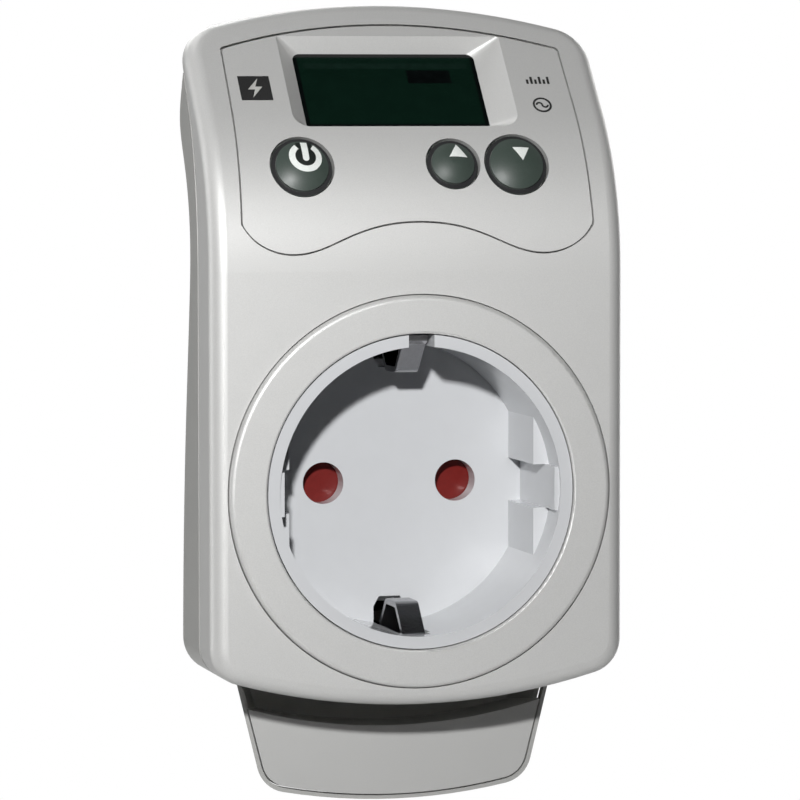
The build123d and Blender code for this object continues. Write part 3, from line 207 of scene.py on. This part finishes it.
def make_material(
    name, color, roughness, grain=900.0, variation=0.04, bump=0.0, metallic=0.0, coat=0.0,
    rough_spread=0.05, sheen=0.0,
):
    """Procedural material: fine grain in its colour, its roughness and, with bump, its surface."""
    material = bpy.data.materials.new(name)
    material.use_nodes = True
    nodes, links = material.node_tree.nodes, material.node_tree.links
    shader = nodes["Principled BSDF"]
    shader.inputs["Metallic"].default_value = metallic
    shader.inputs["Coat Weight"].default_value = coat
    shader.inputs["Coat Roughness"].default_value = 0.15
    shader.inputs["Sheen Weight"].default_value = sheen
    place = nodes.new("ShaderNodeTexCoord")
    fine = nodes.new("ShaderNodeTexNoise")
    fine.inputs["Scale"].default_value = grain
    fine.inputs["Detail"].default_value = 4.0
    links.new(place.outputs["Object"], fine.inputs["Vector"])
    broad = nodes.new("ShaderNodeTexNoise")
    broad.inputs["Scale"].default_value = grain / BROAD_GRAIN
    broad.inputs["Detail"].default_value = 3.0
    links.new(place.outputs["Object"], broad.inputs["Vector"])
    ramp = nodes.new("ShaderNodeValToRGB")
    ramp.color_ramp.elements[0].position = GRAIN_SPAN[0]
    ramp.color_ramp.elements[1].position = GRAIN_SPAN[1]
    dark = [max(0.0, c * (1 - variation)) for c in color]
    light = [min(1.0, c * (1 + variation)) for c in color]
    ramp.color_ramp.elements[0].color = (*dark, 1)
    ramp.color_ramp.elements[1].color = (*light, 1)
    links.new(fine.outputs["Fac"], ramp.inputs["Fac"])
    links.new(ramp.outputs["Color"], shader.inputs["Base Color"])
    spread = nodes.new("ShaderNodeMapRange")
    spread.inputs["From Min"].default_value = GRAIN_SPAN[0]
    spread.inputs["From Max"].default_value = GRAIN_SPAN[1]
    spread.inputs["To Min"].default_value = max(0.02, roughness - rough_spread)
    spread.inputs["To Max"].default_value = min(1.0, roughness + rough_spread)
    links.new(broad.outputs["Fac"], spread.inputs["Value"])
    links.new(spread.outputs["Result"], shader.inputs["Roughness"])
    if bump:
        relief = nodes.new("ShaderNodeBump")
        relief.inputs["Strength"].default_value = bump
        relief.inputs["Distance"].default_value = GRAIN_DEPTH
        links.new(fine.outputs["Fac"], relief.inputs["Height"])
        links.new(relief.outputs["Normal"], shader.inputs["Normal"])
    return material


def node_materials():
    """Makes the material of each look, puts it on its CAD nodes, and gives back all materials by name."""
    paint = dict(grain=9000, variation=0.05, bump=0.15, metallic=0.38, rough_spread=0.01)
    metal = dict(grain=2500, metallic=1.0, variation=0.05, bump=0.1)
    plating = dict(grain=3500, metallic=1.0, variation=0.05, bump=0.1)
    looks = {
        "silver_paint": (
            (0.595, 0.595, 0.585), 0.51, paint,
            ["front_cover", "control_panel", "socket_ring"],
        ),
        # Same silver paint as the body, made darker for the pod: painted shade, since the pod sits back
        # below the body and gets less light.
        "shaded_pod_silver_paint": ((0.52, 0.52, 0.51), 0.51, paint, ["sensor_cover"]),
        "rear_paint": ((0.47, 0.47, 0.455), 0.48, paint, ["rear_cover"]),
        "white_plastic": (
            (0.60, 0.61, 0.625), 0.16, dict(grain=300, variation=0.01, coat=0.3),
            ["socket_insert", "socket_floor", "shutter_retainer"],
        ),
        "red_plastic": (
            (0.15, 0.008, 0.006), 0.35, dict(grain=2000, variation=0.08, bump=0.1),
            ["shutter"],
        ),
        "button_rubber": (
            (0.042, 0.058, 0.049), 0.46, dict(grain=6000, variation=0.08, bump=0.2, sheen=0.1),
            ["power_button", "up_button", "down_button"],
        ),
        "black_plastic": (
            (0.02, 0.02, 0.021), 0.4, dict(grain=5000, variation=0.15, bump=0.3),
            ["plug_body", "lcd_frame", "key_switches", "controller_chip", "metering_chip"],
        ),
        "contact_rubber": (
            (0.08, 0.08, 0.08), 0.7, dict(grain=4000, variation=0.2),
            ["lcd_contact_strip"],
        ),
        "solder_mask": (
            (0.015, 0.13, 0.045), 0.3, dict(grain=1500, variation=0.2, bump=0.2, coat=0.4),
            ["display_board", "power_board"],
        ),
        "spring_steel": (
            (0.30, 0.30, 0.31), 0.24, metal,
            ["earth_bracket", "plug_earth_contacts", "shutter_spring"],
        ),
        "brass": (
            (0.72, 0.52, 0.24), 0.28, metal,
            ["live_contact", "neutral_contact", "neutral_strip", "earth_link", "shunt_resistor"],
        ),
        "pin_plating": ((0.75, 0.74, 0.71), 0.2, plating, ["live_pin", "neutral_pin"]),
        "screw_steel": ((0.55, 0.56, 0.58), 0.35, plating, ["board_screws", "case_screws"]),
        "relay_case": ((0.012, 0.045, 0.18), 0.45, dict(bump=0.2), ["relay"]),
        "capacitor_film": ((0.50, 0.37, 0.05), 0.4, dict(bump=0.2), ["film_capacitor"]),
        "capacitor_sleeve": ((0.015, 0.015, 0.03), 0.3, {}, ["electrolytic_capacitor"]),
        "varistor_coat": ((0.02, 0.08, 0.30), 0.35, {}, ["varistor"]),
        "live_insulation": ((0.12, 0.035, 0.015), 0.4, {}, ["live_feed_wire", "switched_live_wire"]),
        "neutral_insulation": ((0.02, 0.07, 0.35), 0.4, {}, ["neutral_feed_wire"]),
        "ribbon": (
            (0.62, 0.62, 0.60), 0.5, dict(grain=1500, variation=0.06),
            ["ribbon_cable", "display_connector", "power_connector"],
        ),
        "sensor_epoxy": ((0.02, 0.02, 0.02), 0.35, {}, ["temperature_sensor", "sensor_leads"]),
        "lcd": ((0.004, 0.012, 0.008), 0.25, dict(grain=1200), ["lcd_panel"]),
    }
    materials = {}
    for name, (color, roughness, settings, nodes) in looks.items():
        materials[name] = make_material(name, color, roughness, **settings)
        for node in nodes:
            set_material(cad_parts[node], materials[name])
    return materials


def set_material(piece, material):
    piece.data.materials.clear()
    piece.data.materials.append(material)


def soften_edges(names, width):
    """Rounds the sharp edges of CAD nodes to a width in mm, and leaves their meshes as they are."""
    for name in names:
        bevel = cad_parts[name].modifiers.new("soft_edges", "BEVEL")
        bevel.width = width * MM
        bevel.segments = 2
        bevel.limit_method = "ANGLE"
        bevel.angle_limit = math.radians(40)
        bevel.use_clamp_overlap = True


def make_glass():
    """Dark green tinted window with a smooth, glossy front."""
    color = (0.004, 0.016, 0.010)
    material = make_material("display_glass", color, 0.05, grain=400, variation=0.1, coat=0.5)
    shader = material.node_tree.nodes["Principled BSDF"]
    shader.inputs["Transmission Weight"].default_value = 0.35
    shader.inputs["Specular IOR Level"].default_value = 0.25
    set_material(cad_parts["display_window"], material)


# ---------------------------------------------------------------- printed marks and icons

def flat_mark(name, outlines, place, material, relief=None, rise=PRINT_RISE, sunk=PRINT_SUNK):
    """Thin printed shape: closed outlines in mm on a patch of surface, following relief(x, y) if given."""
    build = bmesh.new()
    for outline in outlines:
        build.faces.new([build.verts.new((x, y, 0)) for x, y in outline])
    bmesh.ops.triangulate(build, faces=build.faces[:])
    if relief:
        bmesh.ops.subdivide_edges(build, edges=build.edges[:], cuts=3, use_grid_fill=True)
    top = build.faces[:]
    lower = bmesh.ops.duplicate(build, geom=top)
    edges = [edge for edge in build.edges if len(edge.link_faces) == 1]
    for vert in build.verts:
        vert.co.z = (relief(vert.co.x, vert.co.y) if relief else 0.0) + rise
    for item in lower["geom"]:
        if isinstance(item, bmesh.types.BMVert):
            item.co.z -= rise + sunk
        if isinstance(item, bmesh.types.BMFace):
            item.normal_flip()
    rims = {}
    for edge in edges:
        key = frozenset((round(v.co.x, 4), round(v.co.y, 4)) for v in edge.verts)
        rims.setdefault(key, []).append(edge)
    for pair in rims.values():
        if len(pair) == 2:
            bmesh.ops.contextual_create(build, geom=pair)
    bmesh.ops.recalc_face_normals(build, faces=build.faces[:])
    for vert in build.verts:
        vert.co = place @ (vert.co * MM)
    mesh = bpy.data.meshes.new(name)
    build.to_mesh(mesh)
    build.free()
    mark = bpy.data.objects.new(name, mesh)
    bpy.context.scene.collection.objects.link(mark)
    mesh.materials.append(material)
    return mark


def box_outline(x, y, width, height):
    return [
        (x - width / 2, y - height / 2), (x + width / 2, y - height / 2),
        (x + width / 2, y + height / 2), (x - width / 2, y + height / 2),
    ]


def arc_outlines(x, y, inner, outer, start, end, steps=24):
    """Band between two radii from one angle to another, in degrees, as one outline for each step."""
    outlines = []
    for step in range(steps):
        first, last = (math.radians(start + (end - start) * s / steps) for s in (step, step + 1))
        outlines.append([
            (x + inner * math.cos(first), y + inner * math.sin(first)),
            (x + outer * math.cos(first), y + outer * math.sin(first)),
            (x + outer * math.cos(last), y + outer * math.sin(last)),
            (x + inner * math.cos(last), y + inner * math.sin(last)),
        ])
    return outlines


def cap_relief(radius):
    """Height in mm of a button's cap above the panel, at a point of the cap, which is part of a ball."""
    ball = (radius**2 + BUTTON_DOME**2) / (2 * BUTTON_DOME)
    return lambda x, y: BUTTON_DOME - ball + math.sqrt(max(ball**2 - x**2 - y**2, 0.0))


def add_button_gap_shades(materials):
    """Dark ring round each cap, down in the gap between the cap and the panel: painted shade for the shadow
    in that gap.
    """
    for name, (x, z, radius) in BUTTONS.items():
        rings = arc_outlines(0, 0, radius - BUTTON_STEP, radius - 0.02, 0, 360, 36)
        place = surface_matrix(x, z, -BUTTON_SKIRT)
        # The ring is painted shade, standing for the shadow in the gap round the cap.
        painted_gap_shade = flat_mark(name.replace("button", "painted_gap_shade"), rings, place, materials["black_plastic"], rise=0.02)
        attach(painted_gap_shade, name)


def add_button_icons():
    white = make_material("icon_white", (0.74, 0.77, 0.74), 0.45, grain=3000, variation=0.05)
    black = make_material("icon_outline", (0.012, 0.016, 0.014), 0.4, grain=3000, variation=0.15)
    for name, (x, z, radius) in BUTTONS.items():
        place = surface_matrix(x, z)
        relief = cap_relief(radius - BUTTON_STEP)
        if name == "power_button":
            shapes = arc_outlines(POWER_ICON_X, 1.1, 1.45, 2.3, -235, 55)
            shapes.append(box_outline(POWER_ICON_X, 2.1, 0.9, 2.6))
            shapes += arc_outlines(POWER_ICON_X, 0.8, 0.02, 0.45, 180, 360, 8)
            outline = arc_outlines(POWER_ICON_X, 1.1, 0.02, 1.5, -180, 180)
            outline.append(box_outline(POWER_ICON_X, 2.6, 2.2, 1.6))
            backing = flat_mark("power_icon_outline", outline, place, black, relief, rise=0.02)
            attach(backing, name)
        if name == "up_button":
            shapes = [[(-0.65, 0.6), (1.95, 0.6), (0.65, 2.7)]]
        if name == "down_button":
            shapes = [[(-0.5, 2.2), (0.7, 0.1), (1.9, 2.2)]]
        icon = flat_mark(name.replace("button", "icon"), shapes, place, white, relief, rise=0.04)
        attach(icon, name)


def add_panel_marks():
    """Generic marks in place of the maker's: a bolt on a dark square, a row of ticks and a wave."""
    ink = make_material("panel_ink", (0.018, 0.018, 0.018), 0.5, grain=4000, variation=0.2)
    light = make_material("panel_ink_light", (0.42, 0.42, 0.40), 0.5, grain=4000, variation=0.08)
    square = flat_mark("supply_mark", [box_outline(0, 0, 4.4, 4.4)], surface_matrix(*SUPPLY_MARK), ink)
    bolt_shape = [(0.55, 1.75), (-1.05, -0.25), (-0.05, -0.25), (-0.55, -1.75), (1.05, 0.25), (0.05, 0.25)]
    bolt = flat_mark("supply_bolt", [bolt_shape], surface_matrix(*SUPPLY_MARK), light, rise=0.05)
    ticks = []
    for step, height in enumerate((0.8, 1.3, 0.8, 1.3, 0.8, 1.3)):
        ticks.append(box_outline(-1.5 + 0.6 * step, height / 2, 0.34, height))
    tick_row = flat_mark("panel_ticks", ticks, surface_matrix(*TICK_MARK), ink)
    wave = arc_outlines(0, 0, 1.05, 1.35, 0, 360, 36)
    wave += arc_outlines(-0.4, 0, 0.26, 0.54, 0, 180, 12)
    wave += arc_outlines(0.4, 0, 0.26, 0.54, 180, 360, 12)
    wave_mark = flat_mark("alternating_current_mark", wave, surface_matrix(*WAVE_MARK), ink)
    for mark in (square, bolt, tick_row, wave_mark):
        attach(mark, "root")


def add_window_print():
    """Black border and faint areas of the display, printed on the front of the window."""
    black = make_material("window_border", (0.002, 0.003, 0.003), 0.12, grain=900, variation=0.3)
    pale = make_material("display_band", (0.005, 0.014, 0.010), 0.12, grain=900, variation=0.2)
    across, up = WINDOW_SPOT
    place = surface_matrix(0, HEAD_Z, -WINDOW_SUNK) @ Matrix.Translation((across * MM, up * MM, 0))
    half, tall = WINDOW_WIDTH / 2, WINDOW_HEIGHT / 2
    border_middle = WINDOW_BORDER / 2
    side_height = 2 * (tall - WINDOW_BORDER)
    sides = [
        box_outline(0, tall - border_middle, 2 * half, WINDOW_BORDER),
        box_outline(0, border_middle - tall, 2 * half, WINDOW_BORDER),
        box_outline(border_middle - half, 0, WINDOW_BORDER, side_height),
        box_outline(half - border_middle, 0, WINDOW_BORDER, side_height),
    ]
    frame_print = flat_mark("window_frame_print", sides, place, black, rise=0.02)
    band_outline = box_outline(0, tall - 2.2, 2 * half - 2.6, 1.0)
    block_outline = box_outline(5.9, tall - 4.2, 6.2, 2.4)
    band = flat_mark("display_band", [band_outline], place, pale, rise=0.015)
    block = flat_mark("display_block", [block_outline], place, black, rise=0.02)
    for mark in (frame_print, band, block):
        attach(mark, "root")


# ---------------------------------------------------------------- build

add_camera()
materials = node_materials()
make_glass()
soften_edges(["control_panel", "front_cover", "sensor_cover", "rear_cover"], 0.12)
soften_edges(["socket_insert", "socket_floor", "socket_ring"], 0.15)
add_button_gap_shades(materials)
add_button_icons()
add_panel_marks()
add_window_print()
add_stage()
add_world()
add_lights()
